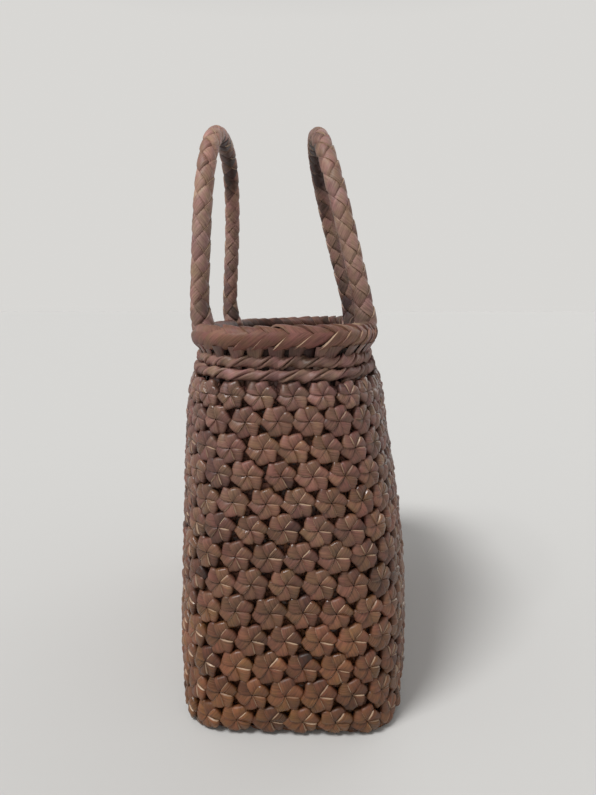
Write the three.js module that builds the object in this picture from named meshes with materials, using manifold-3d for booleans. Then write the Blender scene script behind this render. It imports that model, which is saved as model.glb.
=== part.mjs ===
// Vine basket bag: a tub of flower weave, two twined rows, a plaited rim and two plaited handles.
// Millimetres, +Z up. The origin is on the table under the middle of the bag. +X runs along the bag's
// length, and +Y across its depth from the front handle to the back handle.

import * as THREE from "three";
import { mergeVertices } from "three/addons/utils/BufferGeometryUtils.js";
import Module from "manifold-3d";

// Driving dimensions
const FIT_GAP = 0.3; // between pieces that rest on each other

const FLOWERS_ROUND = 42; // flowers in each row, all the way round the tub
const FLOWER_SHIFT = 0.4; // how far a flower of the lowest row stands past the middle of the +X end, in flowers
const FLOWER_ROWS = 13;
const LOWEST_ROW = 9; // height of the middle of the lowest row of flowers
const HIGHEST_ROW = 188.6;
const FLOWER_RELIEF = 3; // a flower's middle stands this far out of the gap between three flowers
const WEAVE_THICKNESS = 5; // bark strips folded over and under
const WEAVE_TOP = 195.6;

const TWINED_ROW_HEIGHT = 6.2;
const TWISTS_ROUND = 60; // turns of the twined pair that show all the way round
const TWINED_THICKNESS = 6.4;
const TWIST_DEPTH = 1.6; // groove between one turn and the next

const RIM_HEIGHT = 12.1;
const RIM_THICKNESS = 13;
const RIM_STRIPS_ROUND = 60; // slanting strips of the plait on each side of the rim
const RIM_GROOVE = 1.3;

const HANDLE_DIAMETER = 11.6;
const HANDLE_HALF_SPAN = 66; // from the middle of the bag to the middle of a leg
const HANDLE_LEG = 50; // straight length of a leg above the rim
const HANDLE_ARCH_POWER = 2.4; // superellipse of the arch above the legs
const HANDLE_SINK = 2.2; // how far a foot is worked down over the rim's crest
const HANDLE_FLARE = { share: 0.22, reach: 11 }; // a foot widens by this share, within this distance
const PLAIT_PITCH = 15; // length of one diamond of the handles' plait
const PLAIT_RELIEF = 0.7;

// Handles stand on the rim's long sides. rise is from the rim's crest to the middle of the handle's top, lean
// is in degrees towards the middle of the bag, turn is in degrees about the upright line through the +X foot,
// and out is how far that foot stands outside the crest's middle.
const HANDLES = [
  { name: "handle_front", side: -1, rise: 124, lean: 3.2, turn: 0.4, out: 2 },
  { name: "handle_back", side: 1, rise: 126, lean: 13.6, turn: 0.4, out: -0.2 },
];

// Outline of the weave over its flowers. length and depth are half sizes, lean is how far the section
// sits towards +Y, and power is that of its superellipse in plan, where a higher one is squarer.
const OUTLINE = [
  { height: 0, length: 135, depth: 63.2, lean: 0, power: 7.6 },
  { height: 3, length: 137.2, depth: 66, lean: 0, power: 6.2 },
  { height: 10, length: 139.4, depth: 68.4, lean: 0, power: 5.1 },
  { height: 42, length: 140.6, depth: 70.2, lean: 0, power: 4.45 },
  { height: 79, length: 140, depth: 69, lean: 0, power: 4.3 },
  { height: 125, length: 138, depth: 66, lean: -1.6, power: 4 },
  { height: 166, length: 134.6, depth: 62, lean: -4.4, power: 3.7 },
  { height: 186, length: 132.4, depth: 60, lean: -5, power: 3.5 },
  { height: 195.6, length: 130.4, depth: 57.8, lean: -5.4, power: 3.4 },
];
const TWINED_PLANS = [
  { length: 129.2, depth: 56.6, lean: -5.6, power: 3.3 },
  { length: 127.8, depth: 54.8, lean: -5.9, power: 3.2 },
];
const RIM_PLAN = { length: 132, depth: 59.3, lean: -6, power: 3 };

// Bark of the pieces
const BARK = {
  weave: { color: 0x7b5a4a, roughness: 0.62, metalness: 0 },
  twined: { color: 0x74533f, roughness: 0.62, metalness: 0 },
  rim: { color: 0x805540, roughness: 0.55, metalness: 0 },
  handle: { color: 0x855c47, roughness: 0.58, metalness: 0 },
};

// Sizes that follow
const HALF_COLUMNS = 2 * FLOWERS_ROUND; // rows are staggered by half a flower
const ROW_STEP = (HIGHEST_ROW - LOWEST_ROW) / (FLOWER_ROWS - 1);
const TWINED_BOTTOMS = [0, 1].map((row) => WEAVE_TOP + FIT_GAP + row * (TWINED_ROW_HEIGHT + FIT_GAP));
const RIM_BOTTOM = TWINED_BOTTOMS[1] + TWINED_ROW_HEIGHT + FIT_GAP;
const RIM_TOP = RIM_BOTTOM + RIM_HEIGHT;

const wasm = await Module();
wasm.setup();

// A closed outline in plan: a superellipse about the bag's upright axis that starts at the middle of the
// +X end and goes round by +Y.
class PlanCurve extends THREE.Curve {
  constructor(plan) {
    super();
    Object.assign(this, plan);
    this.arcLengthDivisions = 720;
  }

  getPoint(share, target = new THREE.Vector3()) {
    const angle = 2 * Math.PI * share;
    const along = Math.cos(angle);
    const across = Math.sin(angle);
    const reach = (Math.abs(along) ** this.power + Math.abs(across) ** this.power) ** (-1 / this.power);
    return target.set(this.length * along * reach, this.lean + this.depth * across * reach, 0);
  }

  // The point at a share of the way round, moved outwards and up.
  place(share, out, height) {
    const point = this.getPointAt(share - Math.floor(share));
    const slope = (value, size) => (Math.sign(value) * Math.abs(value / size) ** (this.power - 1)) / size;
    const outward = new THREE.Vector3(slope(point.x, this.length), slope(point.y - this.lean, this.depth), 0);
    return point.addScaledVector(outward.normalize(), out).setZ(height);
  }
}

// The weave's outline at a height, between the rows of its table.
function outlineAt(height) {
  const above = Math.max(1, OUTLINE.findIndex((row) => row.height >= height));
  const low = OUTLINE[above - 1];
  const high = OUTLINE[above];
  const share = (height - low.height) / (high.height - low.height);
  const between = (key) => THREE.MathUtils.lerp(low[key], high[key], share);
  return new PlanCurve({
    length: between("length"),
    depth: between("depth"),
    lean: between("lean"),
    power: between("power"),
  });
}

// Points and triangles of one solid as they are added
class SolidMesh {
  points = [];
  triangles = [];

  addPoint(point) {
    this.points.push(point);
    return this.points.length - 1;
  }

  addFace(...corners) {
    for (let i = 2; i < corners.length; i++) this.triangles.push(corners[0], corners[i - 1], corners[i]);
  }

  geometry() {
    const geometry = new THREE.BufferGeometry().setFromPoints(this.points);
    geometry.setIndex(this.triangles);
    geometry.computeVertexNormals();
    return geometry;
  }
}

const wrapped = (ring, index) => ring.ids[(index + ring.ids.length) % ring.ids.length];

// A ring of points round the tub on every second half column. stagger is 0 or 1, and inset goes into
// the wall.
function addRing(solid, height, stagger, inset, plan = outlineAt(height)) {
  const ids = [];
  for (let flower = 0; flower < FLOWERS_ROUND; flower++) {
    const column = 2 * (flower + FLOWER_SHIFT) + stagger;
    ids.push(solid.addPoint(plan.place(column / HALF_COLUMNS, -inset, height)));
  }
  return { ids, stagger };
}

// Plain facets from one ring to the next one along the surface.
function bridgeRings(solid, first, next) {
  const shift = first.stagger === next.stagger ? 0 : first.stagger;
  for (let k = 0; k < FLOWERS_ROUND; k++) {
    solid.addFace(wrapped(first, k), wrapped(first, k + 1), wrapped(next, k + shift));
    solid.addFace(wrapped(first, k + 1), wrapped(next, k + shift + 1), wrapped(next, k + shift));
  }
}

// Facets between two staggered rows of flowers: each three flowers slope down to the gap between them.
function bridgeFlowerRows(solid, row, above, gapsLow, gapsHigh) {
  const shift = row.stagger;
  for (let k = 0; k < FLOWERS_ROUND; k++) {
    const here = wrapped(row, k);
    const beside = wrapped(row, k + 1);
    const upperLeft = wrapped(above, k + shift - 1);
    const upperRight = wrapped(above, k + shift);
    const lowGap = wrapped(gapsLow, k + shift);
    const highGap = wrapped(gapsHigh, k);
    solid.addFace(here, beside, lowGap);
    solid.addFace(beside, upperRight, lowGap);
    solid.addFace(upperRight, here, lowGap);
    solid.addFace(here, upperRight, highGap);
    solid.addFace(upperRight, upperLeft, highGap);
    solid.addFace(upperLeft, here, highGap);
  }
}

// The hollow tub: a flat base, walls with a raised flower at each crossing of the lattice, and a plain
// inside.
function flowerWeave() {
  const INSIDE_HEIGHTS = [150, 100, 50, 14]; // of the plain rings that make the inner wall
  const FLOOR_INSET = 17; // the floor's edge, in from the outline, where the inner wall curves to it
  const solid = new SolidMesh();
  const base = addRing(solid, 0, 0, 0);
  const baseMiddle = solid.addPoint(new THREE.Vector3(0, 0, 0));
  for (let k = 0; k < FLOWERS_ROUND; k++) {
    solid.addFace(baseMiddle, wrapped(base, k + 1), wrapped(base, k));
  }
  const baseEdge = addRing(solid, OUTLINE[1].height, 1, 0);
  bridgeRings(solid, base, baseEdge);

  let row = addRing(solid, LOWEST_ROW, 0, 0);
  bridgeRings(solid, baseEdge, row);
  for (let index = 1; index < FLOWER_ROWS; index++) {
    const height = LOWEST_ROW + index * ROW_STEP;
    const gapsLow = addRing(solid, height - (2 / 3) * ROW_STEP, index % 2, FLOWER_RELIEF);
    const gapsHigh = addRing(solid, height - (1 / 3) * ROW_STEP, row.stagger, FLOWER_RELIEF);
    const above = addRing(solid, height, index % 2, 0);
    bridgeFlowerRows(solid, row, above, gapsLow, gapsHigh);
    row = above;
  }

  let ring = addRing(solid, WEAVE_TOP, 1, 0);
  bridgeRings(solid, row, ring);
  for (const height of [WEAVE_TOP, ...INSIDE_HEIGHTS]) {
    const inner = addRing(solid, height, 1, WEAVE_THICKNESS);
    bridgeRings(solid, ring, inner);
    ring = inner;
  }
  const floorPlan = outlineAt(LOWEST_ROW);
  const floor = addRing(solid, WEAVE_THICKNESS, 1, FLOOR_INSET, floorPlan);
  bridgeRings(solid, ring, floor);
  const floorMiddle = solid.addPoint(new THREE.Vector3(0, 0, WEAVE_THICKNESS));
  for (let k = 0; k < FLOWERS_ROUND; k++) {
    solid.addFace(wrapped(floor, k), wrapped(floor, k + 1), floorMiddle);
  }
  return solid.geometry();
}

// A ring that follows a plan. section(crest) gives its points from the bottom up the outside and down the
// inside: out and height place a point, and along slides it round, in stations. Stations alternate between
// the crest of a strip and the groove beside it.
function stripRing(plan, strips, section) {
  const curve = new PlanCurve(plan);
  const stations = 2 * strips;
  const solid = new SolidMesh();
  const rings = [];
  for (let station = 0; station < stations; station++) {
    const points = section(station % 2 === 0);
    rings.push(
      points.map(({ out, height, along }) =>
        solid.addPoint(curve.place((station + along) / stations, out, height)),
      ),
    );
  }
  for (let station = 0; station < stations; station++) {
    const here = rings[station];
    const next = rings[(station + 1) % stations];
    for (let j = 0; j < here.length; j++) {
      const up = (j + 1) % here.length;
      solid.addFace(here[j], next[j], next[up], here[up]);
    }
  }
  return solid.geometry();
}

// One twined row: a pair of strips twisted about the uprights, rising to the right seen from outside.
function twinedRow(row) {
  const CORNER = 1.8; // how far the strip's top and bottom are rounded in
  const SLANT = 0.9; // rise of a turn, in stations from the row's bottom to its top
  const FACE = { low: 0.3, high: 0.72, middle: 0.5 }; // shares of the height where the faces stand full
  const bottom = TWINED_BOTTOMS[row];
  return stripRing(TWINED_PLANS[row], TWISTS_ROUND, (crest) => {
    const face = crest ? 0 : -TWIST_DEPTH;
    const back = -TWINED_THICKNESS + (crest ? 0 : TWIST_DEPTH);
    const point = (out, share) => ({
      out,
      height: bottom + share * TWINED_ROW_HEIGHT,
      along: SLANT * (share - 0.5),
    });
    return [
      point(-CORNER, 0),
      point(face, FACE.low),
      point(face, FACE.high),
      point(-CORNER, 1),
      point(CORNER - TWINED_THICKNESS, 1),
      point(back, FACE.middle),
      point(CORNER - TWINED_THICKNESS, 0),
    ];
  });
}

// The plaited rim: slanting strips rise outside to the crest, where they meet those from the inside in a
// chevron. grow makes it a smooth envelope of the plait, larger all round by that much.
function rimPlait(grow = null) {
  const SHOULDER = 3.2; // how far the crest and the foot are rounded in
  const SLANT = 1.6; // run of a strip from the foot to the crest, in stations
  const FACE = { low: 0.26, high: 0.7 }; // shares of the height where the faces stand full
  const margin = grow ?? 0;
  return stripRing(RIM_PLAN, RIM_STRIPS_ROUND, (crest) => {
    const groove = crest || grow !== null ? 0 : RIM_GROOVE;
    const point = (out, share) => ({
      out,
      height: RIM_BOTTOM + share * RIM_HEIGHT + margin * Math.sign(share - 0.5),
      along: SLANT * (share - 0.5),
    });
    return [
      point(-SHOULDER, 0),
      point(margin - groove, FACE.low),
      point(margin - groove, FACE.high),
      point(-SHOULDER, 1),
      point(SHOULDER - RIM_THICKNESS, 1),
      point(groove - RIM_THICKNESS - margin, FACE.high),
      point(groove - RIM_THICKNESS - margin, FACE.low),
      point(SHOULDER - RIM_THICKNESS, 0),
    ];
  });
}

// The middle line of a handle in its own upright plane: x along the bag, y the rise above the rim's crest.
class HandleCurve extends THREE.Curve {
  constructor(rise) {
    super();
    this.rise = rise;
    this.arcLengthDivisions = 600;
  }

  getPoint(share, target = new THREE.Vector3()) {
    const LEG_SHARE = 0.2; // of the parameter, for each leg
    const side = share < 0.5 ? 1 : -1;
    const fromFoot = Math.min(share, 1 - share);
    if (fromFoot < LEG_SHARE) {
      const rise = THREE.MathUtils.lerp(-HANDLE_SINK, HANDLE_LEG, fromFoot / LEG_SHARE);
      return target.set(side * HANDLE_HALF_SPAN, rise, 0);
    }
    const angle = (Math.PI / 2) * ((fromFoot - LEG_SHARE) / (0.5 - LEG_SHARE));
    const bend = 2 / HANDLE_ARCH_POWER;
    return target.set(
      side * HANDLE_HALF_SPAN * Math.cos(angle) ** bend,
      HANDLE_LEG + (this.rise - HANDLE_LEG) * Math.sin(angle) ** bend,
      0,
    );
  }
}

// A handle's plait as a lobed tube along its middle line, with flared feet, in the handle's own plane.
function handlePlait(rise) {
  const SIDES = 12;
  const HIGH_SIDES = 3; // raised diamonds round the plait
  const curve = new HandleCurve(rise);
  const length = curve.getLength();
  const steps = 2 * Math.round(length / PLAIT_PITCH);
  const solid = new SolidMesh();
  const rings = [];
  for (let step = 0; step <= steps; step++) {
    const share = step / steps;
    const middle = curve.getPointAt(share);
    const ahead = curve.getTangentAt(share);
    const across = new THREE.Vector3(-ahead.y, ahead.x, 0);
    const fromFoot = Math.min(share, 1 - share) * length;
    const flare = 1 + HANDLE_FLARE.share * Math.exp(-((fromFoot / HANDLE_FLARE.reach) ** 2));
    const ring = [];
    for (let side = 0; side < SIDES; side++) {
      const angle = (2 * Math.PI * side) / SIDES;
      const lobe = PLAIT_RELIEF * Math.cos(HIGH_SIDES * angle) * (step % 2 === 0 ? 1 : -1);
      const radius = flare * (HANDLE_DIAMETER / 2 - PLAIT_RELIEF / 2 + lobe / 2);
      const point = middle.clone().addScaledVector(across, radius * Math.cos(angle));
      ring.push(solid.addPoint(point.setZ(radius * Math.sin(angle))));
    }
    rings.push(ring);
  }
  solid.addFace(...rings[0].toReversed());
  solid.addFace(...rings[steps]);
  for (let step = 0; step < steps; step++) {
    for (let side = 0; side < SIDES; side++) {
      const next = (side + 1) % SIDES;
      solid.addFace(rings[step][side], rings[step][next], rings[step + 1][next], rings[step + 1][side]);
    }
  }
  return solid.geometry();
}

// Where a handle's foot stands on the rim's crest.
function handleFoot(side, out) {
  const crest = new PlanCurve({
    ...RIM_PLAN,
    length: RIM_PLAN.length - RIM_THICKNESS / 2,
    depth: RIM_PLAN.depth - RIM_THICKNESS / 2,
  });
  const across = crest.depth * (1 - (HANDLE_HALF_SPAN / crest.length) ** crest.power) ** (1 / crest.power);
  return new THREE.Vector3(0, crest.lean + side * (across + out), RIM_TOP);
}

function toManifold(geometry) {
  const bare = new THREE.BufferGeometry().setAttribute("position", geometry.getAttribute("position"));
  const merged = mergeVertices(geometry.index ? bare.setIndex(geometry.index) : bare);
  return new wasm.Manifold(
    new wasm.Mesh({
      numProp: 3,
      vertProperties: new Float32Array(merged.getAttribute("position").array),
      triVerts: new Uint32Array(merged.index.array),
    }),
  );
}

function toGeometry(manifold) {
  const { vertProperties, triVerts } = manifold.getMesh();
  const geometry = new THREE.BufferGeometry();
  geometry.setAttribute("position", new THREE.BufferAttribute(vertProperties, 3));
  geometry.setIndex(new THREE.BufferAttribute(triVerts, 1));
  geometry.computeVertexNormals();
  return geometry;
}

// A handle in place, with its feet cut to saddles that sit over the rim.
function handle({ side, rise, lean, turn, out }) {
  const upright = new THREE.Matrix4().makeRotationX(Math.PI / 2);
  const tilt = new THREE.Matrix4().makeRotationX(side * THREE.MathUtils.degToRad(lean));
  const swing = new THREE.Matrix4().makeRotationZ(THREE.MathUtils.degToRad(turn));
  const toFoot = new THREE.Matrix4().makeTranslation(-HANDLE_HALF_SPAN, 0, 0);
  const place = new THREE.Matrix4().makeTranslation(handleFoot(side, out).setX(HANDLE_HALF_SPAN));
  place.multiply(swing).multiply(toFoot).multiply(tilt).multiply(upright);
  const plait = toManifold(handlePlait(rise).applyMatrix4(place));
  return toGeometry(plait.subtract(toManifold(rimPlait(FIT_GAP))));
}

function addPiece(group, name, geometry, bark) {
  const mesh = new THREE.Mesh(geometry, new THREE.MeshStandardMaterial(bark));
  mesh.name = name;
  group.add(mesh);
}

const bag = new THREE.Group();
addPiece(bag, "flower_weave", flowerWeave(), BARK.weave);
addPiece(bag, "twined_row_lower", twinedRow(0), BARK.twined);
addPiece(bag, "twined_row_upper", twinedRow(1), BARK.twined);
addPiece(bag, "plaited_rim", rimPlait(), BARK.rim);
for (const row of HANDLES) addPiece(bag, row.name, handle(row), BARK.handle);

export default bag;
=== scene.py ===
import math

import bpy
import numpy as np
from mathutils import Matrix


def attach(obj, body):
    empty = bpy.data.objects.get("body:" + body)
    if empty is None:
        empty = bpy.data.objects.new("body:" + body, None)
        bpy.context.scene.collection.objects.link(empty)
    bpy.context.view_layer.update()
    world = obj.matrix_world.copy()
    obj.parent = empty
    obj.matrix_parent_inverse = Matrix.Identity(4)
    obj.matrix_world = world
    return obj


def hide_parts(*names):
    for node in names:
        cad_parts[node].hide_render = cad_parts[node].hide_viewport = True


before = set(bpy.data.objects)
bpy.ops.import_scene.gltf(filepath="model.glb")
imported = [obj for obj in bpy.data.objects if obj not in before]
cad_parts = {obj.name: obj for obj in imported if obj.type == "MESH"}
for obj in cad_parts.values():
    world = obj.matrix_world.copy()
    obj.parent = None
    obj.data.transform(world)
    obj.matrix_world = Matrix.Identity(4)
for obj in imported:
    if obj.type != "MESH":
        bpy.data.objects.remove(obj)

bpy.ops.object.select_all(action="DESELECT")
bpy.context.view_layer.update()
MM = 0.001
rng = np.random.default_rng(44)

# Flower weave. The tub is woven from soft strips of vine bark that run three ways and fold over each
# other, so that every crossing makes a flower of six petals, with a small three-cornered gap between
# each three flowers. A petal's upper edge lies over the next petal and shows its pale cut.
FLOWERS_ROUND = 42
FLOWER_SHIFT = 0.4  # how far a flower stands past the middle of the +X end, in flowers
ROW_HEIGHTS = np.array([  # of the flowers' middles, in mm
    9, 25.4, 41.2, 56.8, 72.6, 88, 102.8, 117.4, 131.7, 146, 159.7, 173.8, 187])
ROW_STEP = 14.97  # from row to row, on the whole
PITCH = 2 * ROW_STEP / math.sqrt(3)  # from flower to flower
PETAL_RISE = 2.4  # a petal's crest stands this far out of the weave's middle layer

# Outline over the flowers, in mm: height, half length, half depth, lean towards +Y, power of the plan.
# The first three rows lie on the flat base.
OUTLINE = np.array([
    (0, 112, 40.2, 0, 7.6),
    (0, 124, 52.2, 0, 7.6),
    (0, 135, 63.2, 0, 7.6),
    (3, 137.2, 66, 0, 6.2),
    (10, 139.4, 68.4, 0, 5.1),
    (42, 140.6, 70.2, 0, 4.45),
    (79, 140, 69, 0, 4.3),
    (125, 138, 66, -1.6, 4),
    (166, 134.6, 62, -4.4, 3.7),
    (186, 132.4, 60, -5, 3.5),
    (195.6, 130.4, 57.8, -5.4, 3.4),
    (202, 129.2, 56.6, -5.6, 3.3),
])


def spline(knots, values, at):
    """Rows of values at the wanted places, on a smooth curve through the rows at the knots."""
    slopes = np.gradient(values, knots, axis=0)
    left = np.clip(np.searchsorted(knots, at) - 1, 0, len(knots) - 2)
    step = (knots[left + 1] - knots[left])[:, None]
    x = (at - knots[left])[:, None] / step
    rise = x * x * (3 - 2 * x)
    lead = x * (1 - x) ** 2
    trail = x * x * (x - 1)
    bent = step * (lead * slopes[left] + trail * slopes[left + 1])
    return (1 - rise) * values[left] + rise * values[left + 1] + bent


def plan_loop(length, depth, lean, power, count):
    """Evenly spaced points round a superellipse, from the middle of its +X end by +Y, the first repeated."""
    angle = np.linspace(0, 2 * math.pi, 4001)
    along, across = np.cos(angle), np.sin(angle)
    reach = (np.abs(along) ** power + np.abs(across) ** power) ** (-1 / power)
    loop = np.stack([length * along * reach, lean + depth * across * reach], axis=1)
    walked = np.concatenate([[0], np.cumsum(np.linalg.norm(np.diff(loop, axis=0), axis=1))])
    even = np.linspace(0, walked[-1], count + 1)
    return np.stack([np.interp(even, walked, loop[:, axis]) for axis in range(2)], axis=1)


profile = np.concatenate([[0], np.cumsum(np.hypot(np.diff(OUTLINE[:, 0]), np.diff(OUTLINE[:, 2])))])
runs = np.arange(0, profile[-1], 1.0)  # lengths along the profile, from the base up the wall, in mm
sections = spline(profile, OUTLINE, runs)
SKIN_COLUMNS = 24 * FLOWERS_ROUND
skin = np.array([
    np.column_stack([plan_loop(*section[1:], SKIN_COLUMNS), np.full(SKIN_COLUMNS + 1, max(section[0], 0.0))])
    for section in sections
])
up_wall = np.gradient(skin, axis=0)
round_wall = np.gradient(np.concatenate([skin[:, -2:-1], skin, skin[:, 1:2]], axis=1), axis=1)[:, 1:-1]
outward = np.cross(round_wall, up_wall)
outward /= np.linalg.norm(outward, axis=2, keepdims=True)


def on_skin(share, run, lift):
    """Points on the weave, in mm, by share of the way round, length up the profile and lift outwards."""
    column = (share % 1) * SKIN_COLUMNS
    row = np.clip(run, runs[0], runs[-2]) - runs[0]
    left, low = column.astype(int), row.astype(int)
    x, y = (column - left)[..., None], (row - low)[..., None]

    def between(grid):
        bottom = grid[low, left] * (1 - x) + grid[low, left + 1] * x
        top = grid[low + 1, left] * (1 - x) + grid[low + 1, left + 1] * x
        return bottom * (1 - y) + top * y

    return between(skin) + between(outward) * lift[..., None]


# Petal in polar form about its flower, seen from outside. A row for each line from the flower's middle:
# degrees back from the upper edge, reach in mm, and height of the petal's back there.
PETAL_LINES = np.array([
    (-72, 6.6, 0.75),
    (-60, 8.4, 1.4),
    (-46, 9.9, 1.75),
    (-37, 9.3, 2.0),
    (-21, 8.5, 2.4),
    (-7, 8.1, 2.4),
    (0, 7.6, 2.05),
])
# A row for each ring of the petal: share of the reach, share of the height, and drop where it folds under.
PETAL_RINGS = np.array([
    (0.05, 0.55, 0),
    (0.33, 0.9, 0),
    (0.63, 1.0, 0),
    (0.85, 0.87, 0),
    (0.965, 0.52, 0),
    (1.0, 0, 0.45),
    (0.93, 0, 2.4),
])
CUT_RINGS = 5  # rings before the fold, along which the cut edge shows
CUT_WIDTH, CUT_DROP = 0.45, 0.7  # of the cut edge, in mm
CUT_START = 0.3  # share of the reach at which the cut has its full width
EDGE_TURN = 51  # degrees from the row to the first petal's upper edge
RELIEF_PAINTED_SHADE = 0.33  # painted light and shade, lighter on a petal's raised back, darker where tucked in
RELIEF_PAINTED_SHADE_FROM, DEEPEST_PAINTED_SHADE = 0.7, -0.75  # shares of the rise
TURN_SPREAD = (3, 1.6)  # degrees by which flowers, and single petals, are turned
SIZE_SPREAD = (0.02, 0.025)  # shares by which flowers, and petals, differ in size
PUFF_SPREAD, REACH_SPREAD = 0.1, 0.025  # shares by which petals differ in height, and their lines in reach
TONE_SPREAD = (0.09, 0.11)  # by which flowers, and petals, differ in shade
FRESH_SHARE, FRESH_TONE = 0.008, 0.4  # a few petals are of fresher, paler bark
CUT_SPREAD = 0.5  # by which the petals of a flower differ in how far their cuts show
ROCK_SPREAD, SHIFT_SPREAD = 0.03, 0.3  # slope, and mm, by which flowers lie out of true
GRAIN_SPAN = 400  # mm over which the strips' places in the grain are scattered


def scatter(count, middle, spread):
    """Random values about a middle, none further from it than twice the spread."""
    return np.clip(rng.normal(middle, spread, count), middle - 2 * spread, middle + 2 * spread)


def grid_quads(rows, columns, first=0):
    """Corners of the quads between neighbouring points of a grid stored row by row."""
    corner = first + np.arange(rows - 1)[:, None] * columns + np.arange(columns - 1)
    return np.stack([corner, corner + columns, corner + columns + 1, corner + 1], axis=-1).reshape(-1, 4)


def strip_batch(points, quads, grain, tone, cut, lot):
    """Many like strips, ready to be joined, from the quads of one. Each point has a place in mm, a place
    along and across the grain, a tone, a share of pale cut, and the lot of bark that its strip is from."""
    shape = points.shape[:-1]
    each = int(np.prod(shape[1:]))
    quads = (np.arange(len(points))[:, None, None] * each + quads).reshape(-1, 4)
    flat = [np.broadcast_to(values, shape).ravel() for values in (tone, cut, lot)]
    return points.reshape(-1, 3), quads, grain.reshape(-1, 2), *flat


def petal_shapes(wear, lines, rings, tone_middle):
    """Petals of many flowers: across, up and lift in mm about each flower, and what a batch of them needs.
    The wear of each flower says how much of its cut edges shows pale, partly worn bark and partly
    painted highlight."""
    flowers = len(wear)
    petals = 6 * flowers
    turn = np.tile(np.arange(6) * 60.0, flowers) + np.repeat(scatter(flowers, EDGE_TURN, TURN_SPREAD[0]), 6)
    turn = np.radians(turn + scatter(petals, 0, TURN_SPREAD[1]))[:, None, None]
    stretch = np.repeat(scatter(flowers, 1, SIZE_SPREAD[0]), 6) + scatter(petals, 0, SIZE_SPREAD[1])
    puff = scatter(petals, 1, PUFF_SPREAD)[:, None, None]
    angle = turn + np.radians(lines[:, 0])
    reach = rings[:, :1] * lines[:, 1] * stretch[:, None, None]
    reach = reach * scatter((petals, 1, len(lines)), 1, REACH_SPREAD)
    lift = rings[:, 1:2] * lines[:, 2] * puff - rings[:, 2:]
    back = np.stack([reach * np.cos(angle), reach * np.sin(angle), lift], axis=-1)

    cut_edge = back[:, :CUT_RINGS, -1]
    edge_angle = turn[:, :, 0]
    spread = CUT_WIDTH * np.clip(rings[:CUT_RINGS, 0] / CUT_START, 0, 1)
    step = np.stack([-spread * np.sin(edge_angle), spread * np.cos(edge_angle)], axis=-1)
    cut_foot = cut_edge + np.concatenate([step, np.full_like(step[..., :1], -CUT_DROP)], axis=-1)
    places = np.concatenate([back.reshape(petals, -1, 3), cut_edge, cut_foot], axis=1)
    grain = np.stack([
        places[..., 0] * np.cos(edge_angle) + places[..., 1] * np.sin(edge_angle),
        places[..., 1] * np.cos(edge_angle) - places[..., 0] * np.sin(edge_angle),
    ], axis=-1) + rng.uniform(0, GRAIN_SPAN, (petals, 1, 2))

    quads = np.concatenate([
        grid_quads(len(rings), len(lines)),
        grid_quads(2, CUT_RINGS, len(rings) * len(lines))[:, ::-1],
    ])
    tone = np.repeat(scatter(flowers, tone_middle, TONE_SPREAD[0]), 6) + scatter(petals, 0, TONE_SPREAD[1])
    tone = np.where(rng.random(petals) < FRESH_SHARE, tone_middle + FRESH_TONE, tone)
    # painted light and shade of the relief: raised parts of a petal lighter, tucked and folded parts darker
    rise = places[..., 2] / PETAL_RISE
    tone = tone[:, None] + RELIEF_PAINTED_SHADE * np.clip(rise - RELIEF_PAINTED_SHADE_FROM, DEEPEST_PAINTED_SHADE, None)
    cut = np.zeros(places.shape[:2])
    cut[:, -2 * CUT_RINGS:] = np.clip(np.repeat(wear, 6) * scatter(petals, 1, CUT_SPREAD), 0, 1)[:, None]
    lot = rng.random((petals, 1))

    rock_across, rock_up = (np.repeat(scatter(flowers, 0, ROCK_SPREAD), 6)[:, None] for _ in range(2))
    places[..., 2] += rock_across * places[..., 0] + rock_up * places[..., 1]
    for axis in range(2):
        places[..., axis] += np.repeat(scatter(flowers, 0, SHIFT_SPREAD), 6)[:, None]
    return places, quads, grain, tone, cut, lot


class Value:
    """A number that changes over a surface: sums and products of it become Math nodes."""

    def __init__(self, finish, socket):
        self.finish, self.socket = finish, socket

    def joined(self, operation, first, second):
        return self.finish.node("ShaderNodeMath", {"operation": operation}, {0: first, 1: second})["Value"]

    def __add__(self, other):
        return self.joined("ADD", self, other)

    def __sub__(self, other):
        return self.joined("SUBTRACT", self, other)

    def __mul__(self, other):
        return self.joined("MULTIPLY", self, other)


class Finish:
    """The nodes of a material, or of the light all round, put together one by one."""

    def __init__(self, owner):
        owner.use_nodes = True
        self.tree = owner.node_tree

    def fill(self, node, sockets):
        """Sets the node's sockets, each by its place or its name, to a number, a colour or a link."""
        for key, value in sockets.items():
            named = [socket for socket in node.inputs if socket.name == key and socket.enabled]
            socket = named[0] if named else node.inputs[key]
            if isinstance(value, Value):
                self.tree.links.new(value.socket, socket)
            else:
                socket.default_value = value

    def node(self, kind, settings=None, sockets=None):
        """Adds a node and gives its outputs by name."""
        node = self.tree.nodes.new(kind)
        for name, setting in (settings or {}).items():
            if name == "stops":
                ramp = node.color_ramp
                while len(ramp.elements) < len(setting):
                    ramp.elements.new(1.0)
                for element, (place, colour) in zip(ramp.elements, setting):
                    element.position, element.color = place, (*colour, 1)
            else:
                setattr(node, name, setting)
        self.fill(node, sockets or {})
        return {output.name: Value(self, output) for output in node.outputs if output.enabled}

    def multiplied(self, first, second, factor):
        """A colour multiplied by another, as far as the factor says."""
        settings = {"data_type": "RGBA", "blend_type": "MULTIPLY"}
        return self.node("ShaderNodeMix", settings, {"Factor": factor, "A": first, "B": second})["Result"]


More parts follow.
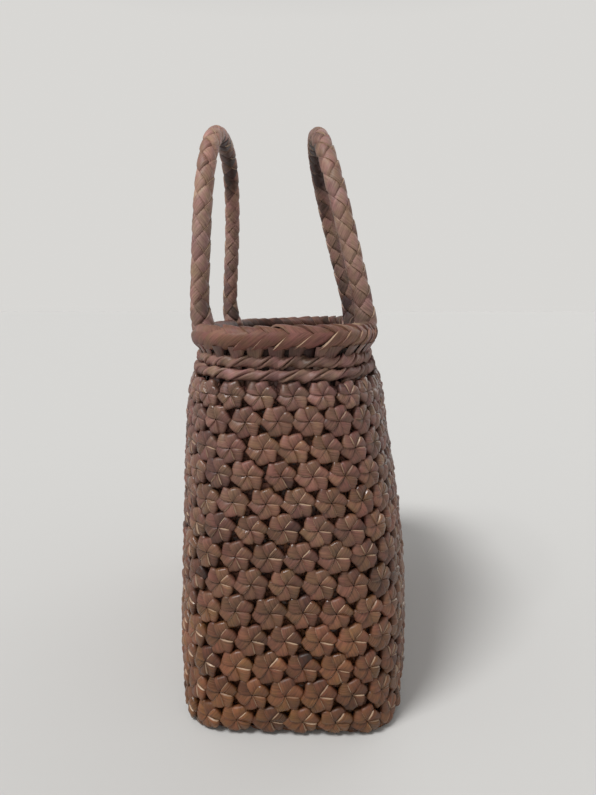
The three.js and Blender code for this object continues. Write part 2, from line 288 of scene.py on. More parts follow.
FIBRE_SHADES = [(0.34, (0.5, 0.47, 0.46)), (0.5, (0.95, 0.95, 0.95)), (0.66, (1.3, 1.3, 1.3))]
HUE_SHADES = [(0, (1.05, 0.96, 1.03)), (0.5, (1, 1, 1.02)), (1, (0.95, 1.01, 0.9))]  # redder to greener bark
BLOOM_SHADES = [(0.36, (1.06, 0.96, 1.07)), (0.64, (0.97, 1.02, 0.92))]  # the same over small patches
AGE_SHADES = [(0.38, (0.93, 0.97, 1.0)), (0.62, (1.04, 0.99, 0.92))]  # greyer and browner parts of the bag
FOOT_BOUNCE_AND_SHADE = (0.84, 0.65, 0.29, 1)  # painted warm bounce light and shade towards the foot
FOOT_HEIGHT = 0.19  # up to this height, in metres
STRIP_VALUES = ("tone", "cut", "lot")  # kept on the mesh at every point
PALE_CUT, CUT_PALENESS = (0.44, 0.31, 0.21, 1), 0.9
FIBRE_DRAW = (0.1, 1.3, 0)  # the fibres' noise is drawn out along the grain
PATCH_DEPTH, FIBRE_DEPTH = 0.5, 0.35  # how far patches and fibres change a strip's tone
STREAK_DEPTH, SHEEN_DEPTH = 0.6, 0.3  # how far the fibres change its colour and its roughness


def bark_finish(name, shades, roughness, polish, gloss, variety):
    """Smooth vine bark: fibres along each strip, a shade of its own for every strip, pale cut edges, and
    painted warm bounce light and shade towards the foot. Polish is how much smoother the shiniest strips
    are, and variety how far the strips differ in hue."""
    material = bpy.data.materials.new(name)
    finish = Finish(material)
    grain = finish.node("ShaderNodeUVMap", {"uv_map": "grain"})["UV"]
    drawn = finish.node("ShaderNodeVectorMath", {"operation": "MULTIPLY"}, {0: grain, 1: FIBRE_DRAW})
    fibre = finish.node("ShaderNodeTexNoise", {}, {
        "Vector": drawn["Vector"], "Scale": 1, "Detail": 5, "Roughness": 0.62})["Fac"]
    place = finish.node("ShaderNodeTexCoord")["Object"]
    patch = finish.node("ShaderNodeTexNoise", {}, {
        "Vector": place, "Scale": 110, "Detail": 5, "Roughness": 0.65})["Fac"]
    mottle = finish.node("ShaderNodeTexNoise", {}, {"Vector": place, "Scale": 190, "Detail": 3})["Fac"]
    broad = finish.node("ShaderNodeTexNoise", {}, {"Vector": place, "Scale": 17, "Detail": 3})["Fac"]
    tone, cut, lot = (
        finish.node("ShaderNodeAttribute", {"attribute_name": label})["Fac"] for label in STRIP_VALUES)
    shade = tone + (patch - 0.5) * PATCH_DEPTH + (fibre - 0.5) * FIBRE_DEPTH
    strip = finish.node("ShaderNodeValToRGB", {"stops": shades}, {"Fac": shade})["Color"]
    streak = finish.node("ShaderNodeValToRGB", {"stops": FIBRE_SHADES}, {"Fac": fibre})["Color"]
    hue = finish.node("ShaderNodeValToRGB", {"stops": HUE_SHADES}, {"Fac": lot})["Color"]
    bloom = finish.node("ShaderNodeValToRGB", {"stops": BLOOM_SHADES}, {"Fac": mottle})["Color"]
    age = finish.node("ShaderNodeValToRGB", {"stops": AGE_SHADES}, {"Fac": broad})["Color"]
    bark = finish.multiplied(finish.multiplied(strip, streak, STREAK_DEPTH), hue, variety)
    bark = finish.multiplied(bark, bloom, 1)
    # painted warm bounce light and shade, strongest at the floor and gone at FOOT_HEIGHT
    height = finish.node("ShaderNodeSeparateXYZ", {}, {0: place})["Z"]
    foot = finish.node("ShaderNodeMapRange", {}, {
        "Value": height, "From Max": FOOT_HEIGHT, "To Min": 1, "To Max": 0})["Result"]
    bark = finish.multiplied(finish.multiplied(bark, age, 1), FOOT_BOUNCE_AND_SHADE, foot)
    edged = finish.node("ShaderNodeMix", {"data_type": "RGBA"}, {
        "Factor": cut * CUT_PALENESS, "A": bark, "B": PALE_CUT})["Result"]
    bump = finish.node("ShaderNodeBump", {}, {
        "Strength": 0.45, "Distance": 0.4 * MM, "Height": fibre})["Normal"]
    rubbed = finish.node("ShaderNodeMapRange", {}, {
        "Value": lot, "From Min": 0.5, "To Max": polish})["Result"]
    sheen = (fibre - 0.5) * SHEEN_DEPTH - rubbed + roughness
    finish.fill(finish.tree.nodes["Principled BSDF"], {
        "Base Color": edged, "Roughness": sheen, "Normal": bump, "Specular IOR Level": gloss})
    return material


def joined_piece(name, batches, finish, slot, *nodes):
    """One piece from batches of small strips."""
    counts = np.cumsum([0] + [len(batch[0]) for batch in batches])
    points, grain, *values = (np.concatenate([batch[i] for batch in batches]) for i in (0, 2, 3, 4, 5))
    quads = np.concatenate([batch[1] + first for batch, first in zip(batches, counts)])
    points[:, 2] = np.clip(points[:, 2], 0, None)  # pressed flat where it stands on the floor
    mesh = bpy.data.meshes.new(name)
    mesh.from_pydata((points * MM).tolist(), [], quads.tolist())
    corners = np.empty(len(mesh.loops), dtype=np.int32)
    mesh.loops.foreach_get("vertex_index", corners)
    mesh.uv_layers.new(name="grain").data.foreach_set("uv", grain[corners].astype(np.float32).ravel())
    for label, value in zip(STRIP_VALUES, values):
        mesh.attributes.new(label, "FLOAT", "POINT").data.foreach_set("value", value.astype(np.float32))
    mesh.polygons.foreach_set("use_smooth", np.ones(len(mesh.polygons), dtype=bool))
    mesh.materials.append(finish)
    mesh.update()
    piece = bpy.data.objects.new(name, mesh)
    bpy.context.scene.collection.objects.link(piece)
    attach(piece, "root")
    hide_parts(*nodes)


weave_bark = bark_finish("weave_bark", [
    (0.0, (0.025, 0.011, 0.008)),
    (0.2, (0.075, 0.033, 0.024)),
    (0.42, (0.135, 0.066, 0.048)),
    (0.62, (0.18, 0.09, 0.066)),
    (0.85, (0.23, 0.122, 0.085)),
    (1.0, (0.29, 0.165, 0.1)),
], roughness=0.46, polish=0.26, gloss=0.42, variety=1)

wall = sections[:, 0] > 4  # above the turn at the foot
row_runs = np.interp(ROW_HEIGHTS, sections[wall, 0], runs[wall])
row_stretch = np.gradient(ROW_HEIGHTS) / ROW_STEP  # flowers of wider rows are taller
TURNED_ROW = -ROW_STEP - 6  # the row that turns under the base lies this far along from the lowest one
row_runs = np.concatenate([[row_runs[0] + TURNED_ROW], row_runs])
row_stretch = np.concatenate([[1], row_stretch])
# the pale cut edges are partly worn bark and partly painted highlight where light catches the cuts
EDGE_WEAR_AND_HIGHLIGHT = ((0, 8, 13), (0.72, 0.72, 0.36))  # rows, and how pale petals' cut edges are in them
EDGE_WEAR_AND_HIGHLIGHT_SPREAD = 0.2
PETAL_TONE = 0.5


def wall_petals(first, last, lines, rings, tone_middle, inside_lift=None):
    """The petals of some of the rows, on the weave's outer face or, where a lift is given, its inner one."""
    row, flower = (grid.ravel() for grid in np.meshgrid(
        np.arange(first, last), np.arange(FLOWERS_ROUND), indexing="ij"))
    share = (flower + FLOWER_SHIFT + 0.5 * (row % 2 == 0)) / FLOWERS_ROUND
    wear = np.zeros(len(share))
    if not inside_lift:
        wear = np.interp(row, *EDGE_WEAR_AND_HIGHLIGHT) + scatter(len(share), 0, EDGE_WEAR_AND_HIGHLIGHT_SPREAD)
    places, quads, *rest = petal_shapes(wear, lines, rings, tone_middle)
    round_tub = np.repeat(share, 6)[:, None] + places[..., 0] / (PITCH * FLOWERS_ROUND)
    run, stretch = (np.repeat(values[row], 6)[:, None] for values in (row_runs, row_stretch))
    up_tub = run + stretch * places[..., 1]
    if inside_lift:
        return strip_batch(on_skin(round_tub, up_tub, inside_lift - places[..., 2]), quads[:, ::-1], *rest)
    return strip_batch(on_skin(round_tub, up_tub, places[..., 2] - PETAL_RISE), quads, *rest)


joined_piece("petals_lower_rows", [wall_petals(0, 7, PETAL_LINES, PETAL_RINGS, PETAL_TONE)],
             weave_bark, "weave_bark", "flower_weave")
joined_piece("petals_upper_rows", [wall_petals(7, 14, PETAL_LINES, PETAL_RINGS, PETAL_TONE)],
             weave_bark, "weave_bark", "flower_weave")

# Inside and base of the weave. The strips lie flatter and closer there: the inner face shows the same
# flowers pressed flat, a little darker as painted shade so that the gaps look dark, and the base is the
# same weave laid on the table, with plain strips between its two faces, dark as painted shade.
INSIDE_LIFT = -4.4  # of the inner face, from the outline
# a little darker than the outer petals: painted shade, which keeps the gaps between flowers dark
INSIDE_SHADED_TONE = 0.44
FLAT_LINES = PETAL_LINES[[0, 2, 4, 6]] * (1, 1.24, 0.45)  # longer and flatter petals
FLAT_RINGS = PETAL_RINGS[[0, 1, 3, 4, 5]] * (1, 1, 0)  # that don't fold under
BASE_HALF = (120, 48, 5)  # half length, half depth and power of the part of the base inside the turned row
BASE_WEAR = 0.4


def base_petals(lines, rings, tone_middle, inside_lift=None):
    """The petals of a flat sheet of flowers on the base, seen from below or from inside."""
    row, column = np.meshgrid(np.arange(-4, 5), np.arange(-9, 10), indexing="ij")
    x = (column + 0.5 * (row % 2)).ravel() * PITCH
    y = row.ravel() * ROW_STEP
    length, depth, power = BASE_HALF
    within = np.abs(x / length) ** power + np.abs(y / depth) ** power < 1
    wear = np.full(within.sum(), 0 if inside_lift else BASE_WEAR)
    places, quads, *rest = petal_shapes(wear, lines, rings, tone_middle)
    height = places[..., 2] - inside_lift if inside_lift else PETAL_RISE - places[..., 2]
    across = np.repeat(x[within], 6)[:, None] + places[..., 0]
    points = np.stack([across, np.repeat(y[within], 6)[:, None] - places[..., 1], height], axis=-1)
    return strip_batch(points, quads[:, ::-1] if inside_lift else quads, *rest)


BASE_STRIPS, BASE_STRIP_STEP, BASE_STRIP_WIDTH = 15, 8.3, 8.8
# the base strips' dark tone is painted shade, seen through the gaps of the base
BASE_STRIP_HEIGHT, BASE_STRIP_CROWN, BASE_STRIP_SHADED_TONE = 3.7, 0.4, 0.15
BASE_EDGE = (134, 62.8, 6)  # half length, half depth and power of the plan that they fill


def base_strips(tone):
    """Plain strips along the bag, side by side between the two faces of the base, which close its gaps."""
    length, depth, power = BASE_EDGE
    walk = np.linspace(-1, 1, 9)[:, None]
    share = np.array([-0.5, 0, 0.5])
    middle = BASE_STRIP_STEP * (np.arange(BASE_STRIPS) - (BASE_STRIPS - 1) / 2)
    y = middle[:, None, None] + BASE_STRIP_WIDTH * share
    x = walk * length * (1 - np.abs(y / depth) ** power) ** (1 / power)
    height = BASE_STRIP_HEIGHT + BASE_STRIP_CROWN * (1 - np.abs(2 * share))
    points = np.stack(np.broadcast_arrays(x, y, height), axis=-1)
    return strip_batch(points, grid_quads(len(walk), len(share)), points[..., :2], tone, 0, 0.5)


inside_batches = [
    wall_petals(0, 14, FLAT_LINES, FLAT_RINGS, INSIDE_SHADED_TONE, INSIDE_LIFT),
    base_petals(FLAT_LINES, FLAT_RINGS, INSIDE_SHADED_TONE, INSIDE_LIFT),
    base_strips(BASE_STRIP_SHADED_TONE),
]
base_batches = [base_petals(PETAL_LINES, PETAL_RINGS, PETAL_TONE)]
joined_piece("petals_inside", inside_batches, weave_bark, "weave_bark", "flower_weave")
joined_piece("petals_base", base_batches, weave_bark, "weave_bark", "flower_weave")

# Uprights. The ends of the strips that rise out of the top flowers stand through the twined rows, bend over
# into the rim and come back down inside. They are flat bark, seen in the dark pockets below the rim; the
# ends inside are near black, painted shade for those pockets.
UPRIGHTS = 60
UPRIGHT_THICKNESS = 1.4
UPRIGHT_PLAN = (125.0, 52.2, -5.8, 3.2)  # half length, half depth, lean and power, in mm
UPRIGHT_HEIGHTS = np.array([186, 193, 199, 204, 207, 209, 211.4])
UPRIGHT_WIDTHS = np.array([6.6, 6.4, 6.2, 6.2, 6.8, 7.6, 8.2])  # at those heights
UPRIGHT_SLANT = np.array([-3.6, -3.2, -2.6, -1.8, -1.1, -0.6, 0])
UPRIGHT_OUT = np.array([1.4, 0.2, -0.4, 0.0, 1.2, 2.4, 4.2])  # from the plan
INNER_HEIGHTS = np.array([186, 193, 199, 204, 207.5, 211, 215])  # of the ends that come back down inside
INNER_WIDTHS = 1.95 * UPRIGHT_WIDTHS
INNER_OUT = np.array([-2.6, -3.4, -4.4, -4.4, -4.3, -4.3, -3.6])
# the inner ends' very dark tone is painted shade behind the pockets below the rim
UPRIGHT_TONE, INNER_SHADED_TONE = 0.36, 0.05
STEP_SPREAD, SLANT_SPREAD, WIDTH_SPREAD, UPRIGHT_TONE_SPREAD = 0.09, 0.3, 0.12, 0.14
RING_STEPS = 2400
upright_shares = (np.arange(UPRIGHTS) + scatter(UPRIGHTS, 0, STEP_SPREAD)) / UPRIGHTS  # of the way round


class Ring:
    """A closed path round the bag. Points are placed by share of the way, and by out and height in mm."""

    def __init__(self, length, depth, lean, power):
        self.shares = np.linspace(0, 1, RING_STEPS + 1)
        self.loop = plan_loop(length, depth, lean, power, RING_STEPS)
        self.length = np.linalg.norm(np.diff(self.loop, axis=0), axis=1).sum()
        ahead = np.gradient(np.concatenate([self.loop[-2:-1], self.loop, self.loop[1:2]]), axis=0)[1:-1]
        ahead /= np.linalg.norm(ahead, axis=1, keepdims=True)
        self.out = np.stack([ahead[:, 1], -ahead[:, 0]], axis=1)

    def place(self, share, out, height):
        x, y, out_x, out_y = (
            np.interp(share % 1, self.shares, column) for column in (*self.loop.T, *self.out.T))
        return np.stack(np.broadcast_arrays(x + out * out_x, y + out * out_y, height), axis=-1)


def upright_strips(shares, heights, widths, out_at, tone_middle):
    """Strips that stand side by side round the bag, with their widths and places out at each height."""
    section = np.array([
        (-0.5, 0), (-0.3, 0.4), (0, 0.5), (0.3, 0.4), (0.5, 0), (0.3, -0.5), (-0.3, -0.5), (-0.5, 0)])
    ring = Ring(*UPRIGHT_PLAN)
    rows, columns = len(heights), len(section)
    slant = UPRIGHT_SLANT[:, None] * scatter((UPRIGHTS, 1, 1), 1, SLANT_SPREAD)
    across = section[:, 0] * widths[:, None] * scatter((UPRIGHTS, 1, 1), 1, WIDTH_SPREAD) + slant
    out = section[:, 1] * UPRIGHT_THICKNESS + out_at[:, None]
    points = ring.place(shares[:, None, None] + across / ring.length, out, heights[:, None])
    grain = np.stack(np.broadcast_arrays(heights[:, None], across), axis=-1)
    grain = grain + rng.uniform(0, GRAIN_SPAN, (UPRIGHTS, 1, 1, 2))
    tone = scatter((UPRIGHTS, 1, 1), tone_middle, UPRIGHT_TONE_SPREAD)
    lot = rng.random((UPRIGHTS, 1, 1))
    return strip_batch(points, grid_quads(rows, columns)[:, ::-1], grain, tone, 0, lot)


twined_bark = bark_finish("twined_bark", [
    (0.1, (0.09, 0.046, 0.036)),
    (0.45, (0.205, 0.108, 0.083)),
    (0.8, (0.29, 0.16, 0.124)),
    (1.0, (0.37, 0.22, 0.155)),
], roughness=0.5, polish=0.1, gloss=0.35, variety=0.7)
upright_batches = [
    upright_strips(upright_shares, UPRIGHT_HEIGHTS, UPRIGHT_WIDTHS, UPRIGHT_OUT, UPRIGHT_TONE),
    upright_strips(upright_shares + 0.5 / UPRIGHTS, INNER_HEIGHTS, INNER_WIDTHS, INNER_OUT, INNER_SHADED_TONE),
]
joined_piece("uprights", upright_batches,
             twined_bark, "twined_bark", "twined_row_lower", "twined_row_upper")

# Twined rows. Two pairs of narrow bark strips are twisted round the uprights, a half turn between each two,
# so that each row looks like a flat rope that rises to the right.
TWINED_ROWS = {  # name: plan over the strips, in mm, and height of the row's middle
    "twined_row_lower": ((129.2, 56.6, -5.6, 3.3), 196.8),
    "twined_row_upper": ((127.8, 54.8, -5.9, 3.2), 203.3),
}
TWINED_TURNS = 24
TWINED_THICKNESS = 6.4
STRAND_HALF = (1.5, 3.5)  # half thickness and half width of a strip
STRAND_SWING = (1.2, 1.2)  # how far a strip moves out and in, and up and down
STRAND_TONE, STRAND_TONE_SPREAD = 0.5, 0.15
SLIP_SPREAD, SWELL_SPREAD, SWAY_SPREAD = 0.35, 0.14, 0.4  # of the twist, the widths and the heights


def twined_strands(plan, middle):
    """The two strips of a row, each a flat tube once round the bag that twists about the row's middle."""
    ring = Ring(*plan)
    stations, sides = 12 * TWINED_TURNS, 11
    share = np.arange(stations + 1)[:, None] / stations
    side = np.linspace(0, 2 * math.pi, sides)
    batches = []
    knots = np.linspace(0, 1, 2 * TWINED_TURNS + 1)

    def wavering(spread):
        """A value that strays a little from half turn to half turn."""
        values = scatter(len(knots), 0, spread)
        values[-1] = values[0]
        return np.interp(share, knots, values)

    slip = wavering(SLIP_SPREAD)
    for strand in (0, 1):
        swell, sway = wavering(SWELL_SPREAD), wavering(SWAY_SPREAD)
        angle = 2 * math.pi * TWINED_TURNS * share + math.pi * strand + slip
        thick = STRAND_HALF[0] * np.cos(side)
        wide = STRAND_HALF[1] * np.sin(side) * (1 + swell)
        out = (STRAND_SWING[0] + thick) * np.cos(angle) - wide * np.sin(angle)
        up = (STRAND_SWING[1] + thick) * np.sin(angle) + wide * np.cos(angle)
        points = ring.place(share, out - TWINED_THICKNESS / 2, middle + up + sway)
        grain = np.stack(np.broadcast_arrays(share * ring.length, side * STRAND_HALF[1]), axis=-1)
        turn = np.floor(angle / (2 * math.pi) + 0.5).astype(int) % TWINED_TURNS
        tone = scatter(TWINED_TURNS, STRAND_TONE, STRAND_TONE_SPREAD)[turn]
        lot = rng.random(TWINED_TURNS)[turn]
        batches.append(strip_batch(points[None], grid_quads(stations + 1, sides), grain, tone, 0, lot))
    return batches


for row, (plan, middle) in TWINED_ROWS.items():
    joined_piece(row + "_strands", twined_strands(plan, middle), twined_bark, "twined_bark", row)

# Rim. A border of bark strips is plaited over a core round the mouth: the strips slant up the outside to the
# crest and back down the inside, so that the crest shows a row of chevrons that point one way.
RIM_PLAN = (125.5, 52.8, -6, 3)  # middle of the border, in mm
RIM_MIDDLE = 215.6
RIM_HALF = (5.0, 5.7)  # of the section under the strips, out and up
RIM_ARC = 5.2  # mm along the section for each radian round it
RIM_STRIP_WIDTH = 8.6
RIM_RUN = 18.0  # along the rim, from a strip's foot to its upper end
RIM_FOOT, RIM_APEX, RIM_END, RIM_BACK = np.radians((-85, 20, 48, 240)) * RIM_ARC  # places on the section
RIM_RELIEF = (0.5, 2.1, 1.2)  # a strip's crown, its tilt up to its left edge, and its thickness
RIM_TUCK = 3.0  # length over which a strip's ends dip
RIM_OUTER_LIFTS, RIM_INNER_LIFTS = (0.5, 0.3, 0.3, -1.0), (-1.0, 0.3, 0.3, -0.6)  # at the ends of the tucks
RIM_INNER_RUN = 1.3  # the strips inside run this much further along
# pale cut edges: outside partly worn bark, partly painted highlight; inside kept few as painted shade
RIM_OUTER_WEAR_AND_HIGHLIGHT, RIM_INNER_WEAR_IN_SHADE = 0.5, 0.1
RIM_RUN_SPREAD, RIM_LIFT_SPREAD = 0.06, 0.22
RIM_TONE, RIM_TONE_SPREAD = 0.56, 0.13
RIM_SHADE = 0.42  # painted shade: how much darker the strips are inside
CORE_DEPTH = 0.9  # of the core, under the strips
WEAR_SPREAD, WEAR_STATIONS = 0.4, 5  # strips' edges are worn unevenly, from one few stations to the next
RIM_RISE, RIM_TWIST = 0.024, -0.016 / 125  # the rim rises a little towards +Y, more so at the -X end
rim_ring = Ring(*RIM_PLAN)


def on_rim(along, arc, lift):
    """Points on the rim, by length along it, length round its section and lift off it, in mm."""
    angle = arc / RIM_ARC
    out = (RIM_HALF[0] + lift) * np.cos(angle)
    points = rim_ring.place(along / rim_ring.length, out, RIM_MIDDLE + (RIM_HALF[1] + lift) * np.sin(angle))
    points[..., 2] += points[..., 1] * (RIM_RISE + RIM_TWIST * points[..., 0])
    return points


def laid_strips(surface, x, y, width, lift_at, relief, tone, lot, wear):
    """Flat strips laid on a surface along paths x, y in mm. A strip is crowned, lies higher at its left
    edge by its tilt, and has a cut at that edge, pale where it is worn."""
    crown, tilt, thickness = relief
    strips, stations = x.shape
    ahead = np.stack([np.gradient(x, axis=1), np.gradient(y, axis=1)], axis=-1)
    pace = np.linalg.norm(ahead, axis=-1, keepdims=True)
    ahead = ahead / pace
    share = np.array([-0.5, -0.48, -0.22, 0.05, 0.3, 0.48])
    height = crown * (1 - (2 * share) ** 2) + tilt * share
    height[0] -= thickness
    share = np.concatenate([share, [0.48, 0.51]])
    height = np.concatenate([height, height[-1:], height[-1:] - thickness])
    columns = len(share)
    offset = np.broadcast_to(width, stations)[:, None] * share
    across_x = x[..., None] - ahead[..., 1:] * offset
    across_y = y[..., None] + ahead[..., :1] * offset
    points = surface(across_x, across_y, lift_at(across_x, across_y) + height)
    quads = grid_quads(stations, columns).reshape(stations - 1, columns - 1, 4)
    quads = np.delete(quads, columns - 3, axis=1).reshape(-1, 4)
    walked = np.cumsum(pace, axis=1)
    grain = np.stack(np.broadcast_arrays(walked, offset), axis=-1)
    grain = grain + rng.uniform(0, GRAIN_SPAN, (strips, 1, 1, 2))
    paleness = np.clip(rng.normal(wear, WEAR_SPREAD, (strips, stations // WEAR_STATIONS + 2)), 0, 1)
    paleness = np.repeat(paleness, WEAR_STATIONS, axis=1)[:, :stations, None]
    cut = np.where(np.arange(columns) >= columns - 2, paleness, 0)
    return strip_batch(points, quads, grain, tone[..., None], cut, lot[..., None])


def rim_core():
    """The core under the strips, seen in the pockets between their feet, darkest in tone as painted shade.
    """
    along, arc = np.meshgrid(
        np.linspace(0, rim_ring.length, 241), np.linspace(0, 2 * math.pi, 13) * RIM_ARC, indexing="ij")
    points = on_rim(along, arc, np.full(along.shape, -CORE_DEPTH))
    grain = np.stack([along, arc], axis=-1)
    return strip_batch(points[None], grid_quads(*along.shape), grain, 0, 0, 0.5)


def rim_strips():
    """The core, the strips that slant up the outside to the crest, and those that go back down inside."""
    walk = np.linspace(0, 1, 13)
    start = upright_shares[:, None] * rim_ring.length
    run = RIM_RUN * scatter((UPRIGHTS, 1), 1, RIM_RUN_SPREAD)
    width = RIM_STRIP_WIDTH * np.interp(walk, (0, 0.4, 1), (0.8, 1, 1))
    turn_back = start + run * (RIM_APEX - RIM_FOOT) / (RIM_END - RIM_FOOT)
    batches = [rim_core()]
    crest = math.pi / 2 * RIM_ARC
    back = turn_back - RIM_INNER_RUN * run * walk
    for along, first, last, widths, lifts, wear in (
        (start + run * walk, RIM_FOOT, RIM_END, width, RIM_OUTER_LIFTS, RIM_OUTER_WEAR_AND_HIGHLIGHT),
        (back, RIM_APEX, RIM_BACK, RIM_STRIP_WIDTH, RIM_INNER_LIFTS, RIM_INNER_WEAR_IN_SHADE),
    ):
        arc = np.broadcast_to(first + (last - first) * walk, along.shape)
        tucks = (first, first + RIM_TUCK, last - RIM_TUCK, last)
        slack = scatter((UPRIGHTS, 1, 1), 0, RIM_LIFT_SPREAD)

        def lift_at(x, y):
            return np.interp(y, tucks, lifts) + slack

        # painted shade on the strips past the crest, inside the mouth
        shade = RIM_SHADE * np.clip((arc - crest) / RIM_ARC, 0, 1)
        tone = scatter((UPRIGHTS, 1), RIM_TONE, RIM_TONE_SPREAD) - shade
        lot = rng.random((UPRIGHTS, 1))
        batches.append(laid_strips(on_rim, along, arc, widths, lift_at, RIM_RELIEF, tone, lot, wear))
    return batches


rim_bark = bark_finish("rim_bark", [
    (0.0, (0.04, 0.018, 0.013)),
    (0.15, (0.085, 0.038, 0.028)),
    (0.45, (0.155, 0.07, 0.051)),
    (0.8, (0.225, 0.108, 0.078)),
    (1.0, (0.31, 0.16, 0.09)),
], roughness=0.54, polish=0.06, gloss=0.25, variety=0.9)
joined_piece("rim_strips", rim_strips(), rim_bark, "rim_bark", "plaited_rim")

# Handles. Each is a rope core under six bark strips, plaited three and three, over one and under one. Its
# feet widen towards the inside of the bag and are worked into the rim on the bag's long sides.
HANDLE_HALF_SPAN, HANDLE_LEG, HANDLE_SINK = 66, 50, 9  # of the legs, above the rim and into it, in mm
HANDLE_ARCH_POWER = 2.4
RIM_TOP = 221.0
HANDLES = {  # tone, side, rise in mm, lean at its +X leg, more lean at the other, turn, and the foot's place
    # the front handle's lighter tone than the back one's is painted light, on the side the key light comes
    # from
    "handle_front": (0.7, -1, 124, 3.2, 0, 0.4, 2.4),
    "handle_back": (0.54, 1, 126, 14.1, 0.9, 0.83, 0.8),
}
PLAIT_RADIUS = 5.05  # of the strips' middle layer
PLAIT_TURN = 39.0  # length in which a strip goes once round
PLAIT_SWING, PLAIT_STEEPNESS = 0.55, 3  # how far a strip lies over or under the middle layer, and how soon
PLAIT_RELIEF = (0.2, 0.6, 0.8)  # crown, tilt and thickness, as in the rim
FLARE_SHARE, FLARE_REACH = 0.45, 14.0  # how much a foot widens, and over what length
FLARE_MIDDLE = -2.0  # of the foot, out of the rim's middle
FOOT_TAPER = ((0, 1.2, 3, 6), (0.1, 0.5, 0.82, 1))  # mm from a foot's end, and share of the width there
UNDERSIDE_SHADE, ARCH_TOP_SHADE, FOOT_DARKENING = 0.22, 0.5, 0.2  # painted shade under the arch and near its top, darker at feet
ARCH_TOP_SHADE_HALF, ARCH_TOP_SHADE_FADE, FOOT_FADE = 62, 12, 40  # mm each way that the top's painted shade reaches, and over which these fade
STRIP_STATION, STRIP_GAP = 1.1, 0.1  # mm between points along a strip, and between strips
HANDLE_TONE_SPREAD, HANDLE_WEAR = 0.14, 0.45


class HandlePath:
    """A handle's middle line. Points are placed by length along it, angle round it and radius, and the
    inside of the arch is at a quarter turn. Lean and turn are in degrees."""

    def __init__(self, side, rise, lean, twist, turn, out):
        bend = 2 / HANDLE_ARCH_POWER
        quarter = np.linspace(0, math.pi / 2, 400)
        arch_x = HANDLE_HALF_SPAN * np.cos(quarter) ** bend
        arch_rise = HANDLE_LEG + (rise - HANDLE_LEG) * np.sin(quarter) ** bend
        leg_rise = np.linspace(-HANDLE_SINK, HANDLE_LEG, 60)[:-1]
        leg_x = np.full(len(leg_rise), HANDLE_HALF_SPAN)
        half = np.stack([np.append(leg_x, arch_x), np.append(leg_rise, arch_rise)], axis=1)
        line = np.concatenate([half, half[-2::-1] * (-1, 1)])
        walked = np.concatenate([[0], np.cumsum(np.linalg.norm(np.diff(line, axis=0), axis=1))])
        self.length = walked[-1]
        self.steps = np.linspace(0, self.length, 700)
        self.line = np.stack([np.interp(self.steps, walked, line[:, axis]) for axis in range(2)], axis=1)
        ahead = np.gradient(self.line, axis=0)
        self.ahead = ahead / np.linalg.norm(ahead, axis=1, keepdims=True)
        length, depth, middle, power = RIM_PLAN
        across = depth * (1 - (HANDLE_HALF_SPAN / length) ** power) ** (1 / power)
        self.foot = middle + side * (across + out)
        self.inward = side * (out - FLARE_MIDDLE)
        self.lean, self.twist, self.turn = np.radians((lean * side, twist * side, turn))

    def place(self, along, angle, radius):
        x, rise, ahead_x, ahead_rise = (
            np.interp(along, self.steps, column) for column in (*self.line.T, *self.ahead.T))
        from_foot = np.clip(np.minimum(along, self.length - along), 0, None)
        flare = np.exp(-(from_foot / FLARE_REACH) ** 2)
        radius = radius * (1 + FLARE_SHARE * flare) * np.interp(from_foot, *FOOT_TAPER)
        x = x - ahead_rise * radius * np.sin(angle)
        rise = rise + ahead_x * radius * np.sin(angle)
        across = radius * np.cos(angle) - self.inward * flare
        x = x - HANDLE_HALF_SPAN
        lean = self.lean - self.twist * x / (2 * HANDLE_HALF_SPAN)
        y = across * np.cos(lean) - np.clip(rise, 0, None) * np.sin(lean)
        z = RIM_TOP + rise * np.cos(lean) + across * np.sin(lean)
        swung_x = HANDLE_HALF_SPAN + x * math.cos(self.turn) - y * math.sin(self.turn)
        swung_y = self.foot + x * math.sin(self.turn) + y * math.cos(self.turn)
        return np.stack([swung_x, swung_y, z], axis=-1)


def plaited_handle(path, tone_middle):
    """Three strips each way round the handle. A strip lies over where its phase is even, else under."""
    girth = 2 * math.pi * PLAIT_RADIUS
    slant = girth / PLAIT_TURN
    spacing = girth / 3
    width = spacing * math.cos(math.atan(slant)) - STRIP_GAP
    strip = np.arange(3)[:, None]
    stations = int(path.length / STRIP_STATION)
    y = np.broadcast_to(np.linspace(0, path.length, stations), (3, stations))
    from_foot = np.minimum(y, path.length - y)
    arch_top_shading = np.clip((from_foot - path.length / 2 + ARCH_TOP_SHADE_HALF) / ARCH_TOP_SHADE_FADE, 0, 1)
    batches = []
    for way in (1, -1):
        x = way * y * slant + strip * spacing

        def phase(x, y, strip):
            return (x + way * y * slant) / spacing + strip + (way < 0)

        def lift_at(x, y):
            swing = PLAIT_STEEPNESS * np.cos(math.pi * phase(x, y, strip[..., None]))
            return PLAIT_SWING * np.clip(swing, -1, 1)

        def surface(x, y, lift):
            return path.place(y, x / PLAIT_RADIUS, PLAIT_RADIUS + lift)

        showing = np.abs(np.round(phase(x, y, strip) / 2)).astype(int)
        # painted shade on the inside of the arch, deepest near its top
        underside = np.clip(np.sin(x / PLAIT_RADIUS) + 0.3, 0, 1)
        tone = scatter((3, showing.max() + 1), tone_middle, HANDLE_TONE_SPREAD)[strip, showing]
        tone = tone - underside * (UNDERSIDE_SHADE + ARCH_TOP_SHADE * arch_top_shading)
        tone = tone - FOOT_DARKENING * np.exp(-(from_foot / FOOT_FADE) ** 2)
        lot = rng.random((3, showing.max() + 1))[strip, showing]
        batches.append(laid_strips(surface, x, y, width, lift_at, PLAIT_RELIEF, tone, lot, HANDLE_WEAR))
    return batches


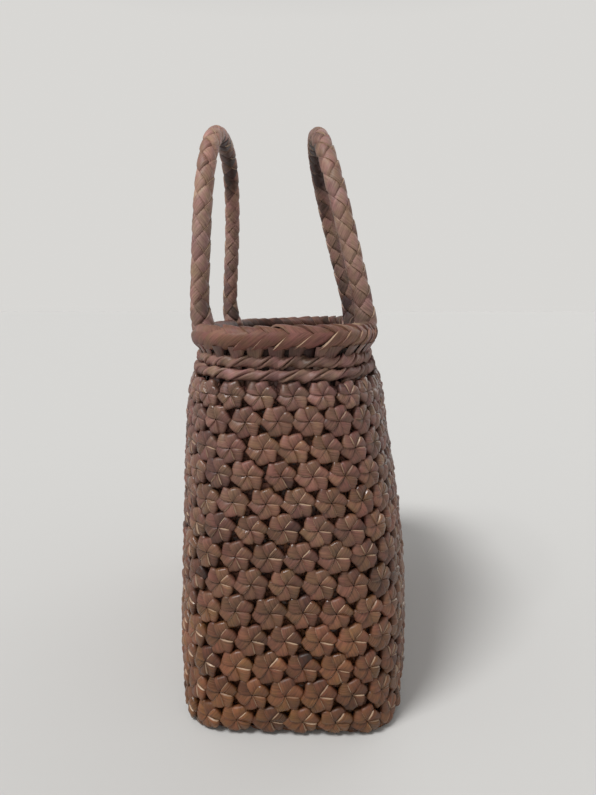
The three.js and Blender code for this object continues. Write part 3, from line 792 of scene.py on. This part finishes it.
handle_bark = bark_finish("handle_bark", [
    # the darkest stop is reached by the painted shade under the arch
    (0.0, (0.052, 0.03, 0.026)),
    (0.45, (0.245, 0.14, 0.11)),
    (0.8, (0.335, 0.203, 0.161)),
    (1.0, (0.39, 0.255, 0.195)),
], roughness=0.54, polish=0.06, gloss=0.3, variety=0.5)
for name, (tone_middle, *placing) in HANDLES.items():
    strips = plaited_handle(HandlePath(*placing), tone_middle)
    joined_piece(name + "_strips", strips, handle_bark, "handle_bark", name)

# Floor, light and camera. The bag stands on a wide pale floor under soft light from above and in front, and
# the camera looks at its short end from a little above the rim.
FLOOR_COLOUR = (0.565, 0.56, 0.545, 1)
SKY_SHADES = [(0.4, (0.69, 0.68, 0.66)), (0.85, (0.3, 0.3, 0.31))]  # near the horizon and overhead
bpy.ops.mesh.primitive_plane_add(size=60)
floor = bpy.context.object
floor.name = "floor"
floor_paint = bpy.data.materials.new("floor_paint")
floor_finish = Finish(floor_paint)
floor_finish.fill(floor_paint.node_tree.nodes["Principled BSDF"], {
    "Base Color": FLOOR_COLOUR, "Roughness": 0.9, "Specular IOR Level": 0.2})
floor.data.materials.append(floor_paint)

world = bpy.data.worlds.new("studio")
bpy.context.scene.world = world
sky = Finish(world)
direction = sky.node("ShaderNodeTexCoord")["Generated"]
climb = sky.node("ShaderNodeSeparateXYZ", {}, {0: direction})["Z"]
sky_shade = sky.node("ShaderNodeValToRGB", {"stops": SKY_SHADES}, {"Fac": climb})
sky.fill(world.node_tree.nodes["Background"], {"Color": sky_shade["Color"], "Strength": 1})


def soft_light(name, place, spread, power):
    """A wide lamp far off at a place in metres, aimed at the origin, its spread in degrees."""
    lamp_data = bpy.data.lights.new(name, "SUN")
    lamp_data.energy = power
    lamp_data.angle = math.radians(spread)
    lamp = bpy.data.objects.new(name, lamp_data)
    lamp.location = place
    x, y, z = place
    lamp.rotation_euler = (math.atan2(math.hypot(x, y), z), 0, math.atan2(y, x) + math.pi / 2)
    bpy.context.scene.collection.objects.link(lamp)


soft_light("key", place=(0.6, -0.62, 1.35), spread=18, power=2.45)
soft_light("fill", place=(-1.2, 0.7, 0.85), spread=60, power=0.5)

EYE = np.array([430.9, 14.6, 231.7]) * MM
LOOK_DOWN, LOOK_LEFT = 0.151, 0.034  # radians
camera_data = bpy.data.cameras.new("camera")
camera_data.sensor_width = 36
camera_data.lens = 27.03
camera = bpy.data.objects.new("camera", camera_data)
camera.location = EYE
camera.rotation_euler = (math.pi / 2 - LOOK_DOWN, 0, math.pi / 2 + LOOK_LEFT)
bpy.context.scene.collection.objects.link(camera)
bpy.context.scene.camera = camera
bpy.context.scene.view_settings.view_transform = "Standard"
